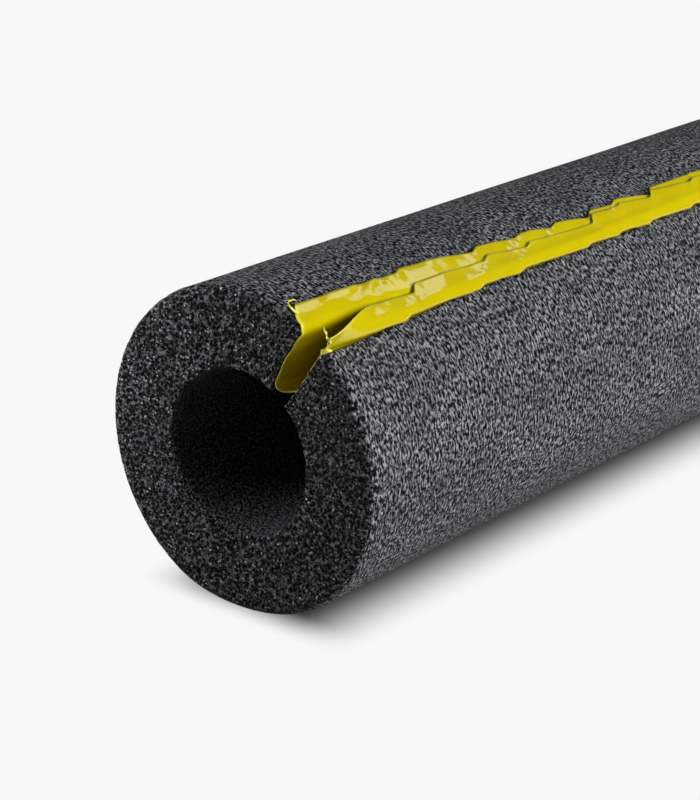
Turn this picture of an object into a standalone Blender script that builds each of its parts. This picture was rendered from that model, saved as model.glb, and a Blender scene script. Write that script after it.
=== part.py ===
"""Polyethylene pipe insulation: one stick of slit foam tube with a release liner on each face of the slit.

The tube lies along X on the level floor at z = 0. Its near end, the one that shows, is at -X.
Angles around the tube are measured from straight up towards -Y, the side that the slit is on.
"""

import math

import bmesh
import bpy
from mathutils import Vector

# Driving sizes of the foam tube, in metres
LENGTH = 0.914
OUTER_DIAMETER = 0.046
BORE_DIAMETER = 0.023
TUBE_SIDES = 64

# The slit, in metres and degrees: it stands open at the ends and closes on the two liners further in
END_GAP_AT_BORE = 0.0026
END_GAP_AT_SKIN = 0.0040
END_FACE_HOLLOW = 0.0006
CLOSED_GAP = 0.0017
END_SLIT_ANGLE = 36.6
CLOSED_SLIT_ANGLE = 38.4
OPEN_STRETCH = 0.045
FAR_END_OPENING = 0.35

# The rounding of the slit's lips, which is large where the slit stands open
UPPER_LIP_ROUND = 0.0019
LOWER_LIP_ROUND = 0.0012
CLOSED_LIP_ROUND = 0.0004
LIP_ROUND_STRETCH = 1.3

# The cutter reaches past the foam on every side
BLADE_OVERRUN = 0.002
BLADE_CUTS = 60
FACE_STEPS = (0, 1 / 3, 2 / 3)

# The release liners: the film on a slit face, folded out over the skin
LINER_THICKNESS = 0.0003
LINER_CLEARANCE = 0.00035
LINER_END_SETBACK = 0.0006
LINER_STATIONS = 130
NEAR_END_CROWDING = 0.5
UPPER_LINER_INNER_RADIUS = 0.0143
LOWER_LINER_INNER_RADIUS = 0.0128

# The upper liner's inner edge hooks across the slit where it stands open, and lies flat elsewhere
HOOK_WIDTH = 0.0015
HOOK_DEPTH = 0.0009
HOOK_END_DEPTH = 0.00055
FLAT_HOOK_END_DEPTH = 0.00135

# The free edges of the two flaps, as angles around the tube
UPPER_EDGE_ANGLE_AT_END = 21.3
UPPER_EDGE_ANGLE = 25.6
UPPER_TAPER_START = 0.018
UPPER_TAPER_LENGTH = 0.025
LOWER_EDGE_ANGLE_AT_END = 39.0
LOWER_EDGE_ANGLE = 30.2
LOWER_TAPER_LENGTH = 0.024

# How far the flaps stand off the skin, and how uneven their free edges are
FLAP_LIFT = 0.0006
STAND_HEIGHT = 0.0016
STAND_LENGTH = 0.033
EDGE_WAVE_ANGLE = 1.1
WAVE_LENGTH = 0.023
SLOW_WAVE_RATIO = 0.37
LIFT_PHASE = 0.6

TUBE_RADIUS = OUTER_DIAMETER / 2
BORE_RADIUS = BORE_DIAMETER / 2
NEAR_END = -LENGTH / 2
FAR_END = LENGTH / 2
AXIS_HEIGHT = TUBE_RADIUS
LINER_OFFSET = LINER_CLEARANCE + LINER_THICKNESS / 2
LINER_STACK = LINER_THICKNESS + LINER_CLEARANCE
UPPER_SIDE = -1
LOWER_SIDE = 1


def smooth_step(value):
    value = min(1.0, max(0.0, value))
    return value * value * (3 - 2 * value)


def blend(start, end, share):
    return start + (end - start) * share


def clear_scene():
    for obj in list(bpy.data.objects):
        bpy.data.objects.remove(obj)


def plain_material(name, colour, roughness):
    """A Principled BSDF with one colour, as the eye reads the material from a distance."""
    material = bpy.data.materials.new(name)
    material.use_nodes = True
    shader = material.node_tree.nodes["Principled BSDF"]
    shader.inputs["Base Color"].default_value = (*colour, 1)
    shader.inputs["Roughness"].default_value = roughness
    shader.inputs["Metallic"].default_value = 0
    return material


def new_object(name, bm, material):
    """Makes the bmesh an object with outward faces, and links it."""
    bm.normal_update()
    bmesh.ops.recalc_face_normals(bm, faces=bm.faces)
    mesh = bpy.data.meshes.new(name)
    bm.to_mesh(mesh)
    bm.free()
    obj = bpy.data.objects.new(name, mesh)
    bpy.context.scene.collection.objects.link(obj)
    if material:
        mesh.materials.append(material)
    return obj


def on_tube(x, angle, radius):
    """The point at that angle and distance from the tube's axis."""
    turn = math.radians(angle)
    return Vector((x, -radius * math.sin(turn), AXIS_HEIGHT + radius * math.cos(turn)))


def openness(x):
    """1 at the near end, falling to 0 where the slit has closed, and a little open again at the far end."""
    near = 1 - smooth_step((x - NEAR_END) / OPEN_STRETCH)
    far = FAR_END_OPENING * (1 - smooth_step((FAR_END - x) / OPEN_STRETCH))
    return max(near, far)


def slit_angle(x):
    return blend(CLOSED_SLIT_ANGLE, END_SLIT_ANGLE, openness(x))


def half_gap(x, radius):
    """Half the slit's width at that distance from the axis: its faces are hollow where it stands open."""
    share = min(1.0, max(0.0, (radius - BORE_RADIUS) / (TUBE_RADIUS - BORE_RADIUS)))
    end_gap = blend(END_GAP_AT_BORE, END_GAP_AT_SKIN, share) / 2 + END_FACE_HOLLOW * 4 * share * (1 - share)
    return blend(CLOSED_GAP / 2, end_gap, openness(x))


def in_slit(x, radius, across):
    """A point in the slit: across is measured from its middle plane, towards the upper lip."""
    turn = math.radians(slit_angle(x))
    outwards = Vector((0, -math.sin(turn), math.cos(turn)))
    upwards = Vector((0, math.cos(turn), math.sin(turn)))
    return Vector((x, 0, AXIS_HEIGHT)) + radius * outwards + across * upwards


def face_angle(x, side, radius):
    """The angle at which the slit's upper or lower face lies, at that distance from the axis."""
    return slit_angle(x) + side * math.degrees(math.asin(half_gap(x, radius) / radius))


def rounded_lip(x, side):
    """A rounded lip from the slit's face to the skin: three pairs of radius and angle."""
    end_round = UPPER_LIP_ROUND if side == UPPER_SIDE else LOWER_LIP_ROUND
    depth = blend(CLOSED_LIP_ROUND, end_round, openness(x))
    face = face_angle(x, side, TUBE_RADIUS - depth)
    skin = face + side * math.degrees(LIP_ROUND_STRETCH * depth / TUBE_RADIUS)
    bulge = 1 - math.sqrt(0.5)
    middle = (TUBE_RADIUS - depth * bulge, blend(face, skin, bulge))
    return (TUBE_RADIUS - depth, face), middle, (TUBE_RADIUS, skin)


def edge_wave(x, phase):
    """The uneven free edge of a pulled liner, from -1 to 1."""
    turn = 2 * math.pi * x / WAVE_LENGTH
    return 0.6 * math.sin(turn + phase) + 0.4 * math.sin(SLOW_WAVE_RATIO * turn + 2 * phase)


def foam_blank(material):
    """The extruded tube, with a flat side straight down, before it is slit."""
    bm = bmesh.new()
    half_side = math.pi / TUBE_SIDES
    for radius in (TUBE_RADIUS / math.cos(half_side), BORE_RADIUS):
        bmesh.ops.create_circle(bm, segments=TUBE_SIDES, radius=radius)
    bmesh.ops.bridge_loops(bm, edges=bm.edges[:])
    section = bmesh.ops.extrude_face_region(bm, geom=bm.faces[:])
    far_verts = {item for item in section["geom"] if isinstance(item, bmesh.types.BMVert)}
    for vert in bm.verts:
        turn = math.atan2(vert.co.y, vert.co.x) + half_side
        x = FAR_END if vert in far_verts else NEAR_END
        vert.co = on_tube(x, math.degrees(turn), vert.co.to_2d().length)
    return new_object("foam_tube", bm, material)


def blade_side(x, side):
    """One side of the cutter's outline, from the bore along the slit's face and lip to past the skin."""
    inner = BORE_RADIUS - BLADE_OVERRUN
    face, middle, skin = rounded_lip(x, side)
    past_skin = (2 * skin[0] - middle[0], 2 * skin[1] - middle[1])
    outline = [in_slit(x, inner, -side * half_gap(x, inner))]
    for step in FACE_STEPS:
        radius = blend(BORE_RADIUS, face[0], step)
        outline.append(on_tube(x, face_angle(x, side, radius), radius))
    for radius, angle in (face, middle, past_skin, (TUBE_RADIUS + BLADE_OVERRUN, past_skin[1])):
        outline.append(on_tube(x, angle, radius))
    return outline


def blade_section(x):
    return blade_side(x, LOWER_SIDE) + blade_side(x, UPPER_SIDE)[::-1]


def slit_blade():
    """The cutter: a prism whose stations crowd towards both ends, where the slit opens."""
    corners = len(blade_section(0))
    bm = bmesh.new()
    bmesh.ops.create_cone(bm, cap_ends=True, segments=corners, radius1=1, radius2=1, depth=1)
    long_edges = [edge for edge in bm.edges if abs(edge.verts[0].co.z - edge.verts[1].co.z) > 0.5]
    bmesh.ops.subdivide_edges(bm, edges=long_edges, cuts=BLADE_CUTS)
    for vert in bm.verts:
        share = smooth_step(vert.co.z + 0.5)
        corner = round(math.atan2(vert.co.x, vert.co.y) / (2 * math.pi) * corners) % corners
        x = blend(NEAR_END - BLADE_OVERRUN, FAR_END + BLADE_OVERRUN, share)
        vert.co = blade_section(x)[corner]
    blade = new_object("slit_blade", bm, None)
    blade.hide_render = True
    blade.display_type = "WIRE"
    return blade


def upper_liner_path(x):
    """The film on the upper face: its hooked inner edge, the face, the lip, then the flap on the skin."""
    inner = UPPER_LINER_INNER_RADIUS
    wall = half_gap(x, inner) - LINER_OFFSET
    hook = HOOK_WIDTH * openness(x)
    end_depth = blend(FLAT_HOOK_END_DEPTH, HOOK_END_DEPTH, openness(x))
    face, middle, skin = rounded_lip(x, UPPER_SIDE)
    mid_wall = (inner + face[0]) / 2
    diagonal = LINER_OFFSET * math.sqrt(0.5)
    lip_skin = skin[1] - math.degrees(diagonal / TUBE_RADIUS)
    path = [
        in_slit(x, inner - end_depth, wall - hook),
        in_slit(x, inner - HOOK_DEPTH, wall - hook / 2),
        in_slit(x, inner, wall),
        in_slit(x, mid_wall, half_gap(x, mid_wall) - LINER_OFFSET),
        on_tube(x, face[1] + math.degrees(LINER_OFFSET / face[0]), face[0]),
        on_tube(x, middle[1] + math.degrees(diagonal / middle[0]), middle[0] + diagonal),
        on_tube(x, lip_skin, TUBE_RADIUS + LINER_OFFSET),
    ]
    share = smooth_step((x - NEAR_END - UPPER_TAPER_START) / UPPER_TAPER_LENGTH)
    free = blend(UPPER_EDGE_ANGLE_AT_END, UPPER_EDGE_ANGLE, share) + EDGE_WAVE_ANGLE * share * edge_wave(x, 0)
    for step in (0.5, 1):
        lift = FLAP_LIFT * step * step * (1 + edge_wave(x, LIFT_PHASE)) / 2
        path.append(on_tube(x, blend(lip_skin, free, step), TUBE_RADIUS + LINER_OFFSET + lift))
    return path


def lower_liner_path(x):
    """The film on the lower face, which stands off the lip and folds back over slit and upper flap."""
    lip = rounded_lip(x, LOWER_SIDE)[0]
    path = []
    for radius in (LOWER_LINER_INNER_RADIUS, (LOWER_LINER_INNER_RADIUS + lip[0]) / 2, lip[0]):
        path.append(in_slit(x, radius, LINER_OFFSET - half_gap(x, radius)))
    along = x - NEAR_END
    share = smooth_step(along / LOWER_TAPER_LENGTH)
    free = blend(LOWER_EDGE_ANGLE_AT_END, LOWER_EDGE_ANGLE, share) + EDGE_WAVE_ANGLE * share * edge_wave(x, 0)
    start = lip[1] - math.degrees(LINER_OFFSET / TUBE_RADIUS)
    stand = STAND_HEIGHT * (1 - smooth_step(along / STAND_LENGTH))
    skin = TUBE_RADIUS + LINER_OFFSET + LINER_STACK
    for step in (0, 1 / 3, 2 / 3, 1):
        lift = FLAP_LIFT * step * step * (1 + edge_wave(x, LIFT_PHASE)) / 2
        path.append(on_tube(x, blend(start, free, step), skin + lift + stand * step))
    return path


def liner(name, path_at, material):
    """A grid laid along the path at each station, given the film's thickness."""
    points = len(path_at(0))
    bm = bmesh.new()
    bmesh.ops.create_grid(bm, x_segments=LINER_STATIONS, y_segments=points - 1, size=0.5)
    start, end = NEAR_END + LINER_END_SETBACK, FAR_END - LINER_END_SETBACK
    paths = {}
    for vert in bm.verts:
        station = round((vert.co.x + 0.5) * LINER_STATIONS)
        place = round((vert.co.y + 0.5) * (points - 1))
        if station not in paths:
            share = station / LINER_STATIONS
            paths[station] = path_at(blend(start, end, blend(share, share * share, NEAR_END_CROWDING)))
        vert.co = paths[station][place]
    obj = new_object(name, bm, material)
    thickness = obj.modifiers.new("film", "SOLIDIFY")
    thickness.thickness = LINER_THICKNESS
    thickness.offset = 0
    return obj


def main():
    clear_scene()
    foam = plain_material("polyethylene_foam", (0.045, 0.046, 0.050), 0.6)
    film = plain_material("yellow_release_film", (0.72, 0.62, 0.01), 0.3)
    tube = foam_blank(foam)
    slit = tube.modifiers.new("slit", "BOOLEAN")
    slit.operation = "DIFFERENCE"
    slit.solver = "EXACT"
    slit.object = slit_blade()
    liner("release_liner_upper", upper_liner_path, film)
    liner("release_liner_lower", lower_liner_path, film)


main()
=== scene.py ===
import math
import random
from bisect import bisect

import bmesh
import bpy
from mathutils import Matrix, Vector, noise


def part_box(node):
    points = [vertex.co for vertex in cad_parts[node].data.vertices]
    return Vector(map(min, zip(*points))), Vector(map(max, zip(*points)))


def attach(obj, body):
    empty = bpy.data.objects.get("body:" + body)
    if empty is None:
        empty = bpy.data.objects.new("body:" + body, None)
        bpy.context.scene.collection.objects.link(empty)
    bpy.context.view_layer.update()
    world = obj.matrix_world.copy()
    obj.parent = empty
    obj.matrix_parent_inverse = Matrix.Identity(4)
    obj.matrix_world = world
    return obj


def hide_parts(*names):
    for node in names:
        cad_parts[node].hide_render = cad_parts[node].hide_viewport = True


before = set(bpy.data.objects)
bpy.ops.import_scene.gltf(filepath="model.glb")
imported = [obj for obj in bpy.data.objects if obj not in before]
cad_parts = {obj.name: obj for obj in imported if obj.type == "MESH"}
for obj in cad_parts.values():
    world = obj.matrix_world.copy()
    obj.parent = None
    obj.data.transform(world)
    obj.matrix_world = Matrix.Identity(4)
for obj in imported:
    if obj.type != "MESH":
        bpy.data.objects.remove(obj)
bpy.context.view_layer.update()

mm = 0.001

# The stick of insulation lies along X. Its near end is at -X, and angles around it
# are in degrees from straight up towards -Y, the side that the slit is on.
low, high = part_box("foam_tube")
stick = {
    "nearEnd": low.x,
    "farEnd": high.x,
    "radius": (high.z - low.z) / 2,
    "axisHeight": (high.z + low.z) / 2,
    "boreRadius": 11.5 * mm,
}

slit = {
    "upperGap": (1.3 * mm, 2.35 * mm),    # from its middle to the upper face, at the bore and at the skin
    "lowerGap": (1.5 * mm, 1.4 * mm),
    "upperHollow": 0.6 * mm,   # how hollow a face is where the slit stands open
    "lowerHollow": 0.2 * mm,
    "closedGap": 1.5 * mm,
    "endAngle": 36.6,
    "closedAngle": 36.4,
    "openStretch": 45 * mm,    # how far in from an end it closes
    "farEndOpening": 0.35,     # how far the far end opens, as a share of the near end
    "upperLipRound": 1.3 * mm,
    "lowerLipRound": 1.1 * mm,
    "closedLipRound": 0.4 * mm,
    "lipRoundStretch": 1.3,    # a lip's rounding along the skin, as a multiple of its depth
}
upperSide, lowerSide = -1, 1


def smoothStep(value):
    value = min(1.0, max(0.0, value))
    return value * value * (3 - 2 * value)


def blend(start, end, share):
    return start + (end - start) * share


def onTube(x, angle, radius):
    # a point by its angle around the tube and its distance from the axis
    turn = math.radians(angle)
    return Vector((x, -radius * math.sin(turn), stick["axisHeight"] + radius * math.cos(turn)))


def tubePlace(point):
    # angle and distance from the axis; the angle runs on from the slit, so the skin has one seam, in the slit
    up = point.z - stick["axisHeight"]
    angle = math.degrees(math.atan2(-point.y, up))
    if angle < slitAngle(point.x):
        angle += 360
    return angle, math.hypot(point.y, up)


def openness(x):
    # 1 where the slit stands open, at the near end, and 0 where it is closed
    near = 1 - smoothStep((x - stick["nearEnd"]) / slit["openStretch"])
    far = slit["farEndOpening"] * (1 - smoothStep((stick["farEnd"] - x) / slit["openStretch"]))
    return max(near, far)


def slitAngle(x):
    return blend(slit["closedAngle"], slit["endAngle"], openness(x))


def gapTo(side, x, radius):
    # from the slit's middle to that face
    atBore, atSkin = slit["upperGap"] if side == upperSide else slit["lowerGap"]
    hollow = slit["upperHollow"] if side == upperSide else slit["lowerHollow"]
    share = min(1.0, max(0.0, (radius - stick["boreRadius"]) / (stick["radius"] - stick["boreRadius"])))
    endGap = blend(atBore, atSkin, share) + hollow * 4 * share * (1 - share)
    return blend(slit["closedGap"] / 2, endGap, openness(x))


def inSlit(x, radius, across):
    # a point by its distance from the axis along the slit and its distance from the slit's middle
    turn = math.radians(slitAngle(x))
    outwards = Vector((0, -math.sin(turn), math.cos(turn)))
    upwards = Vector((0, math.cos(turn), math.sin(turn)))
    return Vector((x, 0, stick["axisHeight"])) + radius * outwards + across * upwards


def faceAngle(x, side, radius):
    return slitAngle(x) + side * math.degrees(math.asin(gapTo(side, x, radius) / radius))


def lipCorner(x, side):
    # a lip's rounding: its depth, the angle where it leaves the slit's face, and where it meets the skin
    endRound = slit["upperLipRound"] if side == upperSide else slit["lowerLipRound"]
    depth = blend(slit["closedLipRound"], endRound, openness(x) ** 2)
    face = faceAngle(x, side, stick["radius"] - depth)
    return depth, face, face + side * math.degrees(slit["lipRoundStretch"] * depth / stick["radius"])


def showPiece(name, bm, materials, slotName, *nodes):
    mesh = bpy.data.meshes.new(name)
    bm.to_mesh(mesh)
    bm.free()
    piece = bpy.data.objects.new(name, mesh)
    bpy.context.scene.collection.objects.link(piece)
    for material in materials:
        mesh.materials.append(material)
    mesh.shade_smooth()
    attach(piece, "root")
    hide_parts(*nodes)
    return piece


# Materials

def fromHex(code):
    channels = [int(code[i:i + 2], 16) / 255 for i in (1, 3, 5)]
    return tuple(c / 12.92 if c <= 0.04045 else ((c + 0.055) / 1.055) ** 2.4 for c in channels) + (1,)


def addNode(tree, kind, settings=(), links=()):
    node = tree.nodes.new("ShaderNode" + kind)
    for name, value in dict(settings).items():
        if isinstance(name, int) or name in node.inputs:
            node.inputs[name].default_value = value
        else:
            setattr(node, name, value)
    for name, socket in dict(links).items():
        tree.links.new(socket, node.inputs[name])
    return node


def newMaterial(name, roughness, ior, specular):
    material = bpy.data.materials.new(name)
    material.use_nodes = True
    shader = material.node_tree.nodes["Principled BSDF"]
    shader.inputs["Roughness"].default_value = roughness
    shader.inputs["IOR"].default_value = ior
    shader.inputs["Specular IOR Level"].default_value = specular
    return material.node_tree, shader, material


def extrudedFoamSkin():
    # Polyethylene foam as the die leaves it: a closed charcoal skin of fine ridges, drawn out around the
    # tube, and of small pebbles. Their tops have a soft waxy gloss and are painted a lighter grey as sheen,
    # with a few painted sparkles; the creases between are dull and painted near black as shade.
    grain = {"ridgeAlong": 0.32, "ridgeAround": 0.95, "pebble": 0.48, "swell": 9.0, "paintedSparkle": 0.42}    # mm
    tree, shader, material = newMaterial("extruded polyethylene foam skin", 0.5, 1.5, 0.1)
    place = addNode(tree, "UVMap", {"uv_map": "skinPlace"}).outputs["UV"]
    ridgeScale = (1 / grain["ridgeAlong"], 1 / grain["ridgeAround"], 1)
    ridgeSpot = addNode(tree, "Mapping", {"Scale": ridgeScale}, {"Vector": place})
    pebbleSpot = addNode(tree, "Mapping", {"Scale": (1 / grain["pebble"],) * 3}, {"Vector": place})
    swellSpot = addNode(tree, "Mapping", {"Scale": (1 / grain["swell"],) * 3}, {"Vector": place})
    sparkleSpot = addNode(tree, "Mapping", {"Scale": (1 / grain["paintedSparkle"],) * 3}, {"Vector": place})
    ridges = addNode(tree, "TexNoise", {"Scale": 1, "Detail": 1.5, "Roughness": 0.55, "Distortion": 0.3},
                     {"Vector": ridgeSpot.outputs[0]})
    pebbles = addNode(tree, "TexNoise", {"Scale": 1, "Detail": 1.0, "Roughness": 0.5},
                      {"Vector": pebbleSpot.outputs[0]})
    swell = addNode(tree, "TexNoise", {"Scale": 1, "Detail": 2.0}, {"Vector": swellSpot.outputs[0]})
    height = addNode(tree, "Mix", {"data_type": "FLOAT", 0: 0.4},
                     {2: ridges.outputs[0], 3: pebbles.outputs[0]})
    crisp = addNode(tree, "MapRange",
                    {"interpolation_type": "SMOOTHSTEP", "From Min": 0.42, "From Max": 0.62},
                    {"Value": height.outputs[0]})
    # painted shade and sheen: near black in the creases, light grey on the tops of the ridges and pebbles
    colour = addNode(tree, "Mix", {"data_type": "RGBA", 6: fromHex("#020203"), 7: fromHex("#999a9f")},
                     {0: crisp.outputs[0]})
    tone = addNode(tree, "MapRange", {"From Min": 0.3, "From Max": 0.7, "To Min": 0.72, "To Max": 1.15},
                   {"Value": swell.outputs[0]})
    toned = addNode(tree, "VectorMath", {"operation": "SCALE"},
                    {0: colour.outputs[2], "Scale": tone.outputs[0]})
    # painted sparkles: a few small pale spots in the colour, standing in for glints on the skin
    sparkleCells = addNode(tree, "TexVoronoi", {"Scale": 1}, {"Vector": sparkleSpot.outputs[0]})
    sparkleKind = addNode(tree, "MapRange", {"From Min": 0.955, "From Max": 0.97},
                        {"Value": sparkleCells.outputs["Color"]})
    sparkleShape = addNode(tree, "MapRange", {"From Min": 0.42, "From Max": 0.22},
                         {"Value": sparkleCells.outputs["Distance"]})
    paintedSparkle = addNode(tree, "Math", {"operation": "MULTIPLY"},
                    {0: sparkleKind.outputs[0], 1: sparkleShape.outputs[0]})
    bright = addNode(tree, "Mix", {"data_type": "RGBA", 7: fromHex("#9a9ba2")},
                     {0: paintedSparkle.outputs[0], 6: toned.outputs[0]})
    dull = addNode(tree, "MapRange", {"To Min": 0.8, "To Max": 0.42}, {"Value": crisp.outputs[0]})
    bump = addNode(tree, "Bump", {"Strength": 1.0, "Distance": 0.32 * mm}, {"Height": crisp.outputs[0]})
    tree.links.new(bright.outputs[2], shader.inputs["Base Color"])
    tree.links.new(dull.outputs[0], shader.inputs["Roughness"])
    tree.links.new(bump.outputs[0], shader.inputs["Normal"])
    return material


def knifeCutFoam():
    # Polyethylene foam where a blade has opened its cells: pits painted near black as shade, thin charcoal
    # walls, and here and there a painted glint on a cut wall
    cell = {"wide": 0.55, "fine": 0.22, "glint": 0.42}    # mm
    tree, shader, material = newMaterial("knife-cut polyethylene foam", 0.55, 1.5, 0.05)
    place = addNode(tree, "TexCoord").outputs["Object"]
    wide = addNode(tree, "TexVoronoi", {"Scale": 1 / (cell["wide"] * mm)}, {"Vector": place})
    fine = addNode(tree, "TexNoise", {"Scale": 1 / (cell["fine"] * mm), "Detail": 1.0}, {"Vector": place})
    height = addNode(tree, "Mix", {"data_type": "FLOAT", 0: 0.55},
                     {2: wide.outputs["Distance"], 3: fine.outputs[0]})
    crisp = addNode(tree, "MapRange",
                    {"interpolation_type": "SMOOTHSTEP", "From Min": 0.46, "From Max": 0.64},
                    {"Value": height.outputs[0]})
    # painted shade: near black in the cells' pits, charcoal on their walls
    colour = addNode(tree, "Mix", {"data_type": "RGBA", 6: fromHex("#010102"), 7: fromHex("#75757a")},
                     {0: crisp.outputs[0]})
    # painted glints: small pale spots on some of the cut walls
    glints = addNode(tree, "TexVoronoi", {"Scale": 1 / (cell["glint"] * mm)}, {"Vector": place})
    glintKind = addNode(tree, "MapRange", {"From Min": 0.62, "From Max": 0.92},
                        {"Value": glints.outputs["Color"]})
    glintShape = addNode(tree, "MapRange", {"From Min": 0.5, "From Max": 0.25},
                         {"Value": glints.outputs["Distance"]})
    glint = addNode(tree, "Math", {"operation": "MULTIPLY"},
                    {0: glintKind.outputs[0], 1: glintShape.outputs[0]})
    bright = addNode(tree, "Mix", {"data_type": "RGBA", 7: fromHex("#f0f0f4")},
                     {0: glint.outputs[0], 6: colour.outputs[2]})
    bump = addNode(tree, "Bump", {"Strength": 1.0, "Distance": 0.2 * mm}, {"Height": crisp.outputs[0]})
    tree.links.new(bright.outputs[2], shader.inputs["Base Color"])
    tree.links.new(bump.outputs[0], shader.inputs["Normal"])
    return material


def blownYellowFilm():
    # Blown polyethylene release film, dyed through: bright glossy yellow, paler at its torn ends and along
    # its two long edges
    grain = {"cloud": 5.0, "crackle": 1.2}    # mm
    tree, shader, material = newMaterial("blown yellow polyethylene film", 0.1, 1.5, 0.5)
    place = addNode(tree, "TexCoord").outputs["Object"]
    paleShare = addNode(tree, "Attribute", {"attribute_name": "paleEdge"}).outputs["Fac"]
    cloud = addNode(tree, "TexNoise", {"Scale": 1 / (grain["cloud"] * mm), "Detail": 2.0}, {"Vector": place})
    colour = addNode(tree, "Mix", {"data_type": "RGBA", 6: fromHex("#bcab00"), 7: fromHex("#c8b700")},
                     {0: cloud.outputs[0]})
    pale = addNode(tree, "Mix", {"data_type": "RGBA", 7: fromHex("#e9e25c")}, {0: paleShare, 6: colour.outputs[2]})
    crackle = addNode(tree, "TexNoise", {"Scale": 1 / (grain["crackle"] * mm), "Detail": 1.0},
                      {"Vector": place})
    bump = addNode(tree, "Bump", {"Strength": 0.12, "Distance": 0.1 * mm}, {"Height": crackle.outputs[0]})
    tree.links.new(pale.outputs[2], shader.inputs["Base Color"])
    tree.links.new(bump.outputs[0], shader.inputs["Normal"])
    return material


# Foam tube

foam = {
    "facesAround": 150,
    "facesThroughWall": 10,
    # mm from the near end, and the step between two stations up to there
    "stations": ((6, 1.2), (24, 2.0), (120, 4.8), (880, 20), (914, 3.4)),
    "nearCuts": 4,             # how often each face of the near cut end is cut again, for its cells
    "farCuts": 2,
    "rimStretch": 6 * mm,      # the skin that is cut finer, behind the near end
    "cell": 0.62 * mm,         # a cell that the blade has opened, and how deep its pit is
    "pitDepth": 0.32 * mm,
    "rimRound": 1.5 * mm,      # the blade leaves the outer edge of an end soft
    "boreRimRound": 0.5 * mm,
    "askew": 1.1 * mm,         # the near cut isn't quite square: its +Y side sticks out
    "askewAcross": (-0.15, 0.5),    # from where to where across the tube, in radii from its axis
    "askewStretch": 30 * mm,
    "pebble": 1.1 * mm,        # small bumps on the skin behind the near end
    "pebbleHeight": 0.10 * mm,
    "swell": 40 * mm,          # the skin's slow waves
    "swellHeight": 0.12 * mm,
    "sink": 0.05 * mm,         # how far the rough skin is set back, to keep within the tube's size
    "floorClearance": 4 * mm,  # below this height the skin lies flat on the floor
}
skinFace, cutFace, boreFace, slitFace = range(4)


def cutAcross(bm, axis, count):
    edges = [e for e in bm.edges if abs(e.verts[0].co[axis] - e.verts[1].co[axis]) > 0.5]
    bmesh.ops.subdivide_edges(bm, edges=edges, cuts=count - 1, use_grid_fill=True)


def stationList(zones):
    # places along the tube in metres, from steps in mm
    places = [0.0]
    for until, step in zones:
        start = places[-1]
        count = max(1, round((until - start) / step))
        places += [start + (until - start) * (i + 1) / count for i in range(count)]
    return [stick["nearEnd"] + place * mm for place in places]


def foamBlock():
    # a block cut into faces and bent round the bore, so that its two sides become the slit's faces
    stations = stationList(foam["stations"])
    bm = bmesh.new()
    bmesh.ops.create_cube(bm, size=1)
    cutAcross(bm, 0, len(stations) - 1)
    cutAcross(bm, 1, foam["facesAround"])
    cutAcross(bm, 2, foam["facesThroughWall"])
    bm.normal_update()
    for face in bm.faces:
        if abs(face.normal.x) > 0.5:
            face.material_index = cutFace
        elif abs(face.normal.y) > 0.5:
            face.material_index = slitFace
        else:
            face.material_index = skinFace if face.normal.z > 0 else boreFace
    for vert in bm.verts:
        x = stations[round((vert.co.x + 0.5) * (len(stations) - 1))]
        radius = blend(stick["boreRadius"], stick["radius"], vert.co.z + 0.5)
        start, end = faceAngle(x, lowerSide, radius), faceAngle(x, upperSide, radius) + 360
        vert.co = onTube(x, blend(start, end, vert.co.y + 0.5), radius)
    return bm


def cutFiner(bm, wanted, cuts):
    edges = {e for f in bm.faces if wanted(f) for e in f.edges}
    bmesh.ops.subdivide_edges(bm, edges=list(edges), cuts=cuts, use_grid_fill=True)


def roundLip(point, side):
    # squeezes the square corner of that lip into a rounded one
    angle, radius = tubePlace(point)
    depth, face, skin = lipCorner(point.x, side)
    a = min(1.0, (angle - (360 if side == upperSide else 0) - skin) / (face - skin))
    b = (radius - stick["radius"] + depth) / depth
    if a <= 0 or b <= 0:
        return point
    squeeze = max(a, b) / math.hypot(a, b)
    return onTube(point.x, skin + (face - skin) * a * squeeze, stick["radius"] - depth + depth * b * squeeze)


def roundRim(point):
    # rounds an end's outer edge and the edge of the bore, in the same way
    fromEnd = min(point.x - stick["nearEnd"], stick["farEnd"] - point.x)
    angle, radius = tubePlace(point)
    for depth, b in ((foam["rimRound"], 1 - (stick["radius"] - radius) / foam["rimRound"]),
                     (foam["boreRimRound"], 1 - (radius - stick["boreRadius"]) / foam["boreRimRound"])):
        a = 1 - fromEnd / depth
        if a <= 0 or b <= 0:
            continue
        squeeze = max(a, b) / math.hypot(a, b)
        outwards = 1 if radius > stick["boreRadius"] * 1.5 else -1
        rounded = onTube(point.x, angle, radius - outwards * depth * b * (1 - squeeze))
        rounded.x -= math.copysign(depth * a * (1 - squeeze), point.x)
        return rounded
    return point


def cellPit(point, size):
    # 0 on a cell's wall, 1 in its middle
    distances = noise.voronoi(point / size)[0]
    return smoothStep((distances[1] - distances[0]) / 0.5)


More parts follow.
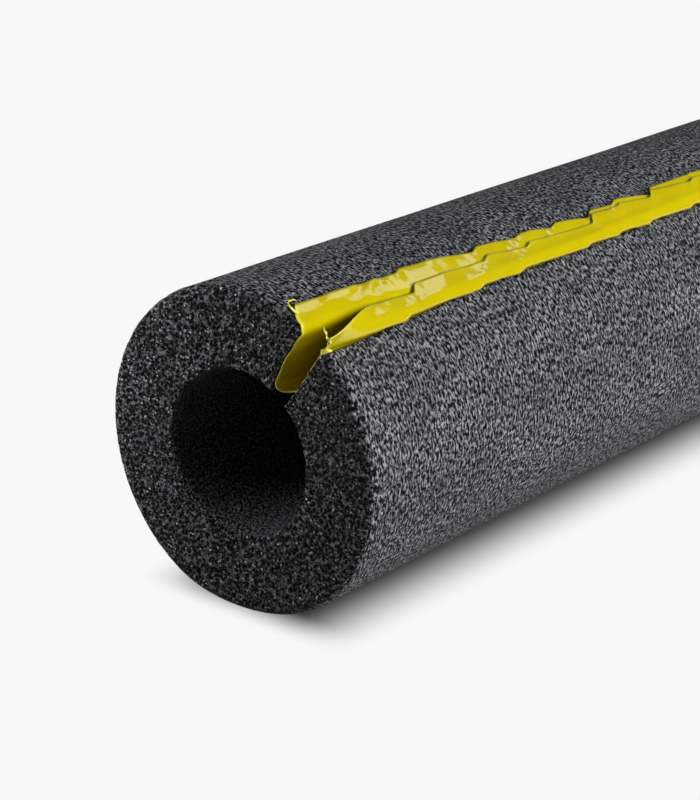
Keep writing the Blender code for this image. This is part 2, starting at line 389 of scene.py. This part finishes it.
def roughenFoam(bm):
    # swells and pebbles on the skin, and the opened cells of the two cut ends
    askewFrom, askewTo = foam["askewAcross"]
    endVerts = {v for f in bm.faces if f.material_index == cutFace for v in f.verts}
    skinVerts = {v for f in bm.faces if f.material_index == skinFace for v in f.verts}
    for vert in bm.verts:
        vert.co = roundRim(roundLip(roundLip(vert.co, upperSide), lowerSide))
        point = vert.co.copy()
        angle, radius = tubePlace(point)
        outwards = onTube(point.x, angle, 1) - Vector((point.x, 0, stick["axisHeight"]))
        if vert in skinVerts:
            inFrom = point.x - stick["nearEnd"]
            near = 1 - smoothStep((inFrom - foam["rimStretch"] / 2) / (foam["rimStretch"] / 2))
            swell = noise.noise(point / foam["swell"]) * foam["swellHeight"]
            pebble = noise.noise(point / foam["pebble"]) * foam["pebbleHeight"] * near
            offFloor = smoothStep(point.z / foam["floorClearance"])
            vert.co += outwards * (swell + pebble - foam["sink"]) * offFloor
        if vert in endVerts:
            inwards = 1 if point.x < 0 else -1
            fromRim = smoothStep((stick["radius"] - radius) / foam["rimRound"])
            vert.co.x += inwards * foam["pitDepth"] * (0.3 + 0.7 * fromRim) * cellPit(point, foam["cell"])
        fromNear = 1 - smoothStep((point.x - stick["nearEnd"]) / foam["askewStretch"])
        leftShare = smoothStep((point.y / stick["radius"] - askewFrom) / (askewTo - askewFrom))
        vert.co.x -= foam["askew"] * fromNear * leftShare


def wrapSkin(bm):
    # a UV map in mm along and around the tube, with its seam in the slit
    layer = bm.loops.layers.uv.new("skinPlace")
    for face in bm.faces:
        for loop in face.loops:
            angle, radius = tubePlace(loop.vert.co)
            loop[layer].uv = (loop.vert.co.x / mm, math.radians(angle) * stick["radius"] / mm)


def makeFoamTube():
    bm = foamBlock()
    middle = (stick["nearEnd"] + stick["farEnd"]) / 2
    rim = stick["nearEnd"] + foam["rimStretch"]
    cutFiner(bm, lambda f: f.calc_center_median().x < rim and f.material_index in (cutFace, skinFace),
             foam["nearCuts"])
    cutFiner(bm, lambda f: f.calc_center_median().x > middle and f.material_index == cutFace, foam["farCuts"])
    roughenFoam(bm)
    wrapSkin(bm)
    skin, cut = extrudedFoamSkin(), knifeCutFoam()
    tube = showPiece("foamTube", bm, (skin, cut, skin, cut), "polyethylene_foam", "foam_tube")
    print("foam tube:", len(tube.data.polygons), "faces")


# Release liners

liner = {
    "thickness": 0.09 * mm,
    "seat": 0.10 * mm,         # the film's middle above the foam
    "facesAcross": 40,
    "stations": ((30, 0.25), (120, 0.36), (914, 2.2)),    # as for the foam
    "endStretch": 30 * mm,     # over which the uneven end of the film evens out
    "tear": 0.42 * mm,         # how wide the pale torn edge at the end is
    "ragged": 0.22 * mm,       # how uneven that edge is, and over which length at the far end
    "raggedStretch": 1.2 * mm,
    "crumple": 0.03 * mm,      # fine crumpling all over, and its size
    "crumpleSize": 1.7 * mm,
    "edgeJump": 2.0 * mm,      # over which the free edge jumps at a crease, and the film's height
    "heightJump": 0.5 * mm,
    "foldShare": 0.35,         # how much of its height the film has at the fold
}

# A liner's free edge has an angle at the near end, then at each crease: mm from the near end, the angle of
# the edge just before the crease and just after. Its facets: mm from the near end, and the height there.
upperLiner = {
    "start": 21.2,
    "creases": ((21.3, 22.7, 21.0), (37.1, 25.3, 23.6), (47.1, 25.5, 24.7), (55.3, 26.7, 25.2),
                (64.1, 28.1, 25.3), (70.9, 26.3, 24.7), (80.9, 27.9, 24.6), (93.1, 25.1, 24.6),
                (103, 27.0, 24.8)),
    "further": (26.6, 24.8),   # the same two angles for the creases past the last one
    "innerRadius": 14.0 * mm,
    # its inner edge hooks across the slit where that stands open: mm out from the inner radius where the
    # slit is closed, the same where it is open, and how far across the slit
    "hook": ((-1.0, 0.1, 1.0), (-0.6, -1.3, 0.6), (-0.2, -1.1, 0.14), (0.6, 0.8, 0)),
    "hookShare": 0.96,
    "hookRecess": 1.6 * mm,    # how much further from the end the hook starts, and the torn corner
    "cornerRecess": 1.7 * mm,
    "hookUntil": 0.18,         # up to which share of the film's width the hook goes, and the corner's start
    "cornerFrom": 0.86,
    "dent": 0.25 * mm,         # how deep the film in the slit is dented
    "facetHeight": 0.34 * mm,
    "creaseHeight": 0.22 * mm,
    "slant": 4.5 * mm,         # how much nearer the end a crease meets the fold than the free edge
    "firstFacets": ((0, 0.1), (1.6, 0.5), (7.4, 0.5), (8.4, 0.95), (13.0, 0.95), (14.9, 0.05), (17.0, 0.95),
                    (19.0, 0.05), (20.4, 0.75), (21, 0.5)),
    "seed": 5,
}
lowerLiner = {
    "start": 31.8,
    "creases": ((20.7, 32.7, 29.2), (37.2, 30.6, 28.8), (46.7, 31.5, 30.1), (63.2, 31.6, 27.5),
                (71, 28.6, 27.3), (79.5, 29.8, 26.6), (91, 29.4, 28.0), (103, 29.9, 27.6)),
    "further": (30.2, 28.4),
    "innerRadius": 12.3 * mm,
    "sweepFrom": 39.2,         # at the end the film isn't folded yet and stands up straight
    "sweep": 13 * mm,
    "standHeight": 1.6 * mm,
    "standLength": 20 * mm,
    "recess": 0.3 * mm,        # how much further from the end its two edges start
    "foldHeight": 0.40 * mm,
    "foldShift": 0.5,          # degrees that the fold moves out over the lip where the film is folded
    "foldEase": 0.4,           # degrees that its outermost line and the flap lie further in than the fold
    "flapEase": 0.9,
    "overhang": 1.3,           # how far the fold sags over the lip just before a crease
    "overhangFrom": 6 * mm,    # it and the creases set in over these lengths
    "creasedFrom": 4 * mm,
    "facetHeight": 0.34 * mm,
    "creaseHeight": 0.16 * mm,
    "slant": 4.5 * mm,
    "firstFacets": ((0, 0.5), (5, 0.2)),
    "seed": 9,
}


def crease(film):
    # lays out the film's creases and facets as far as the far end
    rng = random.Random(film["seed"])
    lines = [(place * mm, before, after) for place, before, after in film["creases"]]
    length = stick["farEnd"] - stick["nearEnd"]
    while lines[-1][0] < length:
        before, after = (angle + rng.uniform(-0.9, 0.9) for angle in film["further"])
        lines.append((lines[-1][0] + rng.uniform(7, 13) * mm, before, after))
    film["lines"] = [(0.0, film["start"], film["start"])] + lines
    film["places"] = [line[0] for line in film["lines"]]
    film["levels"] = [(rng.uniform(0, 0.4), rng.uniform(0.5, 1)) for line in film["lines"]]
    facets = [(place * mm, level) for place, level in film["firstFacets"]]
    while facets[-1][0] < length:
        facets.append((facets[-1][0] + rng.uniform(2.0, 5.5) * mm, rng.random()))
    film["facetPlaces"] = [place for place, level in facets]
    film["facets"] = [level for place, level in facets]


def creaseAt(film, along):
    # the creases before and after, how far on to the next one, and how far past the jump at the last one
    number = bisect(film["places"], along)
    here, there = film["lines"][number - 1], film["lines"][min(number, len(film["lines"]) - 1)]
    share = (along - here[0]) / max(1 * mm, there[0] - here[0])
    jump = smoothStep((along - here[0]) / liner["edgeJump"]) if number > 1 else 1
    return here, there, max(0.0, share) ** 1.5, jump


def freeEdge(film, along):
    # the flap's free edge sinks between two creases and jumps back at each
    here, there, share, jump = creaseAt(film, along)
    return blend(here[1], blend(here[2], there[1], share), jump)


def facetLine(film, along):
    # straight from one facet's edge to the next
    places = film["facetPlaces"]
    number = min(len(places) - 1, max(1, bisect(places, along)))
    share = (along - places[number - 1]) / (places[number] - places[number - 1])
    return blend(film["facets"][number - 1], film["facets"][number], min(1.0, max(0.0, share)))


def filmHeight(film, along, across):
    # how high the film stands: flat facets, and a step at each crease, higher towards the free edge
    place = along + (1 - across) * film["slant"]
    facet = sum(facetLine(film, place + step * mm) for step in (-0.3, 0, 0.3)) / 3
    number = bisect(film["places"], place)
    here, there = film["levels"][number - 1], film["levels"][min(number, len(film["levels"]) - 1)]
    start, end = film["places"][number - 1], film["places"][min(number, len(film["places"]) - 1)]
    share = (place - start) / max(1 * mm, end - start)
    jump = smoothStep((place - start) / liner["heightJump"])
    step = blend(here[0], blend(here[1], there[0], share), jump)
    crumple = 1 + noise.noise(Vector((along / liner["crumpleSize"], across * 2.5, film["seed"])))
    height = film["facetHeight"] * facet + film["creaseHeight"] * step
    return height * blend(liner["foldShare"], 1, across) + liner["crumple"] * crumple


def smoothPath(points, count):
    # evenly spaced points on a rounded curve through the given ones
    dense = []
    padded = [2 * points[0] - points[1]] + points + [2 * points[-1] - points[-2]]
    for a, b, c, d in zip(padded, padded[1:], padded[2:], padded[3:]):
        for i in range(8):
            t = i / 8
            flat, bend = 2 * a - 5 * b + 4 * c - d, 3 * b - a - 3 * c + d
            dense.append(0.5 * (2 * b + (c - a) * t + flat * t * t + bend * t ** 3))
    dense.append(points[-1])
    lengths = [0.0]
    for a, b in zip(dense, dense[1:]):
        lengths.append(lengths[-1] + (b - a).length)
    placed, j = [], 0
    for i in range(count):
        wanted = lengths[-1] * i / (count - 1)
        while j < len(dense) - 2 and lengths[j + 1] < wanted:
            j += 1
        share = (wanted - lengths[j]) / max(1e-9, lengths[j + 1] - lengths[j])
        placed.append(dense[j].lerp(dense[j + 1], min(1.0, share)))
    return placed


def upperFlapHeight(x, angle):
    skin = lipCorner(x, upperSide)[2]
    along = x - stick["nearEnd"]
    across = min(1.0, max(0.0, (skin - angle) / (skin - freeEdge(upperLiner, along))))
    return filmHeight(upperLiner, along, across) * smoothStep(across * 2)


def upperPath(x):
    film = upperLiner
    inner, seat = film["innerRadius"], liner["seat"]
    wall = gapTo(upperSide, x, inner) - seat
    hook = film["hookShare"] * (wall + gapTo(lowerSide, x, inner)) * openness(x)
    depth, face, skin = lipCorner(x, upperSide)
    bulge = 1 - math.sqrt(0.5)
    outer = stick["radius"] - depth
    points = []
    for flat, hooked, reach in film["hook"]:
        points.append(inSlit(x, inner + blend(flat, hooked, openness(x)) * mm, wall - hook * reach))
    for step in (0.33, 0.67):
        radius = blend(inner, outer, step)
        dent = film["dent"] * abs(noise.noise(Vector((x / (3 * mm), step * 3, 7))))
        points.append(inSlit(x, radius, gapTo(upperSide, x, radius) - seat - dent))
    points.append(onTube(x, face + math.degrees(seat / outer), outer))
    points.append(onTube(x, blend(face, skin, bulge) + math.degrees(seat * 0.7 / outer),
                         stick["radius"] - depth * bulge + seat * 0.7))
    points.append(onTube(x, skin, stick["radius"] + seat))
    free = freeEdge(film, x - stick["nearEnd"])
    for step in (0.33, 0.67, 1):
        angle = blend(skin, free, step)
        points.append(onTube(x, angle, stick["radius"] + seat + upperFlapHeight(x, angle)))
    return points


def lowerPath(x):
    film = lowerLiner
    along, seat = x - stick["nearEnd"], liner["seat"]
    depth, face = lipCorner(x, lowerSide)[:2]
    outer = stick["radius"] - depth
    points = []
    for step in (0, 0.5, 1):
        radius = blend(film["innerRadius"], outer, step)
        points.append(inSlit(x, radius, seat - gapTo(lowerSide, x, radius)))
    lip = face + film["foldShift"] * smoothStep(along / film["standLength"])
    share, jump = creaseAt(film, along + film["slant"])[2:]
    overhang = film["overhang"] * blend(1, share, jump) * smoothStep(along / film["overhangFrom"])
    points.append(onTube(x, lip + overhang - film["foldEase"], stick["radius"] + film["foldHeight"] * 0.4))
    stand = film["standHeight"] * (1 - smoothStep(along / film["standLength"]))
    free = blend(film["sweepFrom"], freeEdge(film, along), smoothStep(along / film["sweep"]))
    for step in (0.25, 0.5, 0.75, 1):
        angle = blend(lip - film["flapEase"], free, step)
        rest = seat * 2.5 + upperFlapHeight(x, angle) + film["foldHeight"] * (1 - step)
        own = filmHeight(film, along, step) * smoothStep(along / film["creasedFrom"])
        points.append(onTube(x, angle, stick["radius"] + rest + own + stand * step))
    return points


def upperRecess(share):
    # how far from the end the film starts, from its hook across to its torn corner
    film = upperLiner
    corner = max(0.0, (share - film["cornerFrom"]) / (1 - film["cornerFrom"])) ** 1.3
    return film["hookRecess"] * (1 - smoothStep(share / film["hookUntil"])) + film["cornerRecess"] * corner


def lowerRecess(share):
    return lowerLiner["recess"] * smoothStep(abs(share - 0.6) / 0.4)


def addCurl(bm, paleLayer, route, width, turnedTo):
    # a thin torn strip that stands off the film's end, along a route: mm from the end, angle, radius in mm
    points = [onTube(stick["nearEnd"] + x * mm, angle, radius * mm) for x, angle, radius in route]
    middle = smoothPath(points, 12)
    verts = [bm.verts.new(middle[0] + side * width * turnedTo) for side in (-0.5, 0.5)]
    edge = bm.edges.new(verts)
    for i, point in enumerate(middle[1:], 1):
        made = bmesh.ops.extrude_edge_only(bm, edges=[edge])["geom"]
        edge = next(item for item in made if isinstance(item, bmesh.types.BMEdge))
        narrow = 1 - 0.7 * (i / (len(middle) - 1)) ** 2
        ends = sorted(edge.verts, key=lambda vert: vert.co.dot(turnedTo))
        for side, vert in zip((-0.5, 0.5), ends):
            vert.co = point + side * narrow * width * turnedTo
        verts += ends
    for vert in verts:
        vert[paleLayer] = 0.9


# each curl's route, its width, and the way across it
upperCurls = (
    (((0.9, 25.0, 23.3), (0.3, 23.8, 23.8), (0.0, 22.8, 24.1), (0.0, 21.8, 24.4), (0.4, 21.1, 24.4),
      (0.9, 21.0, 24.2), (1.5, 20.7, 24.2), (2.3, 20.7, 23.8)), 0.34 * mm, Vector((0.45, 0.1, 0.89))),
)
lowerCurls = (
    (((0.9, 40.0, 24.0), (0.6, 39.0, 24.4), (0.5, 38.1, 24.3), (0.5, 37.2, 24.8), (0.4, 36.4, 24.8),
      (0.3, 35.9, 25.2), (0.3, 35.2, 25.1)), 0.45 * mm, Vector((0.72, 0.25, 0.65))),
    (((0.3, 39.8, 22.2), (0.6, 40.6, 22.9), (1.1, 41.6, 23.2)), 0.8 * mm, Vector((0.5, 0.3, 0.8))),
)


def makeLiner(name, pathAt, recessAt, curls, film, node, seed):
    # a flat grid laid along the film's path at each station, with a torn end and its curls
    stations = stationList(liner["stations"])
    across = liner["facesAcross"]
    stretch = liner["endStretch"]
    bm = bmesh.new()
    bmesh.ops.create_grid(bm, x_segments=len(stations) - 1, y_segments=across, size=0.5)
    paleLayer = bm.verts.layers.float.new("paleEdge")
    paths = {}
    for vert in bm.verts:
        i = round((vert.co.x + 0.5) * (len(stations) - 1))
        j = round((vert.co.y + 0.5) * across)
        fine, wide = noise.noise(Vector((j / 1.6, seed, 0))), noise.noise(Vector((j / 5.0, seed, 4)))
        ragged = liner["ragged"] * (1 + fine + wide)
        x = stations[i]
        if x - stick["nearEnd"] < stretch:
            recess = recessAt(j / across) + ragged
            x = stick["nearEnd"] + recess + (x - stick["nearEnd"]) * (1 - recess / stretch)
            key = (i, j)
            paths[key] = smoothPath(pathAt(x), across + 1)
        else:
            key = i
            if key not in paths:
                paths[key] = smoothPath(pathAt(x), across + 1)
        vert.co = paths[key][j]
        fromNear = stations[i] - stick["nearEnd"]
        fromFar = stick["farEnd"] - stations[i]
        vert.co.x -= ragged * math.exp(-fromFar / liner["raggedStretch"])
        vert[paleLayer] = math.exp(-(min(fromNear, fromFar) / liner["tear"]) ** 2)
        # the two long edges are paler too, all along the film
        if j in (0, across):
            vert[paleLayer] = max(vert[paleLayer], 0.6)
    bmesh.ops.recalc_face_normals(bm, faces=bm.faces)
    for route, width, turnedTo in curls:
        addCurl(bm, paleLayer, route, width, turnedTo)
    piece = showPiece(name, bm, (film,), "yellow_release_film", node)
    thick = piece.modifiers.new("film thickness", "SOLIDIFY")
    thick.thickness = liner["thickness"]
    thick.offset = 0
    print(name + ":", len(piece.data.polygons), "faces before its thickness")


# Stage, light and camera

stage = {
    "size": 60.0,              # m
    "grey": "#101010",         # so dark that no lamp leaves a bright spot on it
    "glow": 0.935,             # the table's own light
    # the soft shade under the stick is drawn in that light, since a lamp's shadow hardly shows on so dark a
    # table: dark out to here across the stick and gone from there on, then inwards and outwards from an end
    "shadeAcross": (6.5 * mm, 20.5 * mm),
    "shadeAlong": (5 * mm, 3 * mm),
    "shadeGlow": 0.04,         # the share of the light that is left in it
    "roomLight": 0.05,
    "cameraAt": (-0.654478, -0.185196, 0.130019),
    "cameraTurn": 40.04,       # degrees from +X towards +Y
    "cameraDown": 20.22,
    "lens": 98.94,             # mm on a 36 mm frame
}


def makeFloor():
    bm = bmesh.new()
    bmesh.ops.create_grid(bm, x_segments=1, y_segments=1, size=stage["size"] / 2)
    mesh = bpy.data.meshes.new("studioFloor")
    bm.to_mesh(mesh)
    bm.free()
    floor = bpy.data.objects.new("studioFloor", mesh)
    floor.location.z = -0.02 * mm    # just under the stick, so that the two don't flicker
    bpy.context.scene.collection.objects.link(floor)
    tree, shader, material = newMaterial("opal acrylic light table", 0.9, 1.45, 0.0)
    shader.inputs["Base Color"].default_value = fromHex(stage["grey"])
    shader.inputs["Emission Strength"].default_value = stage["glow"]
    place = addNode(tree, "TexCoord").outputs["Object"]
    away = addNode(tree, "VectorMath", {"operation": "ABSOLUTE"}, {0: place})
    sides = addNode(tree, "SeparateXYZ", {}, {0: away.outputs[0]})
    dark, light = stage["shadeAcross"]
    across = addNode(tree, "MapRange",
                     {"interpolation_type": "SMOOTHSTEP", "From Min": light, "From Max": dark},
                     {"Value": sides.outputs["Y"]})
    inwards, outwards = stage["shadeAlong"]
    dark, light = stick["farEnd"] - inwards, stick["farEnd"] + outwards
    along = addNode(tree, "MapRange",
                    {"interpolation_type": "SMOOTHSTEP", "From Min": light, "From Max": dark},
                    {"Value": sides.outputs["X"]})
    shade = addNode(tree, "Math", {"operation": "MULTIPLY"}, {0: across.outputs[0], 1: along.outputs[0]})
    glow = addNode(tree, "MapRange", {"To Min": 1.0, "To Max": stage["shadeGlow"]},
                   {"Value": shade.outputs[0]})
    tree.links.new(glow.outputs[0], shader.inputs["Emission Color"])
    mesh.materials.append(material)
    floor.visible_diffuse = False    # seen, also in reflections, but its glow doesn't light the stick


softboxes = {
    # the point of the tube's axis that a lamp shines on, from the near end; the way from there to the lamp;
    # its distance and its size in m; its power in W
    "overhead": (60 * mm, (0.0, 0.0, 1), 2.4, (2.2, 2.2), 3),
    "rightKey": (80 * mm, (0.2, -0.90, 0.40), 0.8, (0.5, 0.4), 9.0),    # for the side with the slit
    "nearFill": (0 * mm, (-0.711, 0.592, 0.379), 0.0844, (0.04, 0.04), 0.04),    # for the near cut
    "backFill": (457 * mm, (0.45, 0.87, 0.15), 1.2, (1.0, 0.3), 0.8),    # for the far end and the back
    "filmGlint": (12 * mm, (0.70, -0.03, 0.713), 0.364, (0.12, 0.055), 0.046),    # for pale spots on the film
}


def addSoftbox(name, along, direction, distance, size, power):
    target = Vector((stick["nearEnd"] + along, 0, stick["axisHeight"]))
    data = bpy.data.lights.new(name, "AREA")
    data.shape = "RECTANGLE"
    data.size, data.size_y = size
    data.energy = power
    lamp = bpy.data.objects.new(name, data)
    lamp.location = target + Vector(direction).normalized() * distance
    lamp.rotation_euler = (target - lamp.location).to_track_quat("-Z", "Y").to_euler()
    lamp.visible_camera = False
    bpy.context.scene.collection.objects.link(lamp)


def lightStage():
    world = bpy.data.worlds.new("dim studio")
    bpy.context.scene.world = world
    world.use_nodes = True
    world.node_tree.nodes["Background"].inputs["Color"].default_value = (1, 1, 1, 1)
    world.node_tree.nodes["Background"].inputs["Strength"].default_value = stage["roomLight"]
    for name, lamp in softboxes.items():
        addSoftbox(name, *lamp)
    view = bpy.context.scene.view_settings
    view.view_transform = "Standard"
    view.look = "None"


def placeCamera():
    data = bpy.data.cameras.new("camera")
    data.sensor_width = 36
    data.lens = stage["lens"]
    data.clip_start = 0.01
    camera = bpy.data.objects.new("camera", data)
    camera.location = stage["cameraAt"]
    turn, down = math.radians(stage["cameraTurn"]), math.radians(stage["cameraDown"])
    ahead = Vector((math.cos(down) * math.cos(turn), math.cos(down) * math.sin(turn), -math.sin(down)))
    camera.rotation_euler = ahead.to_track_quat("-Z", "Y").to_euler()
    bpy.context.scene.collection.objects.link(camera)
    bpy.context.scene.camera = camera


makeFoamTube()
crease(upperLiner)
crease(lowerLiner)
yellowFilm = blownYellowFilm()
makeLiner("upperLiner", upperPath, upperRecess, upperCurls, yellowFilm, "release_liner_upper", 1)
makeLiner("lowerLiner", lowerPath, lowerRecess, lowerCurls, yellowFilm, "release_liner_lower", 2)
makeFloor()
lightStage()
placeCamera()
print("stage, lights and camera placed")
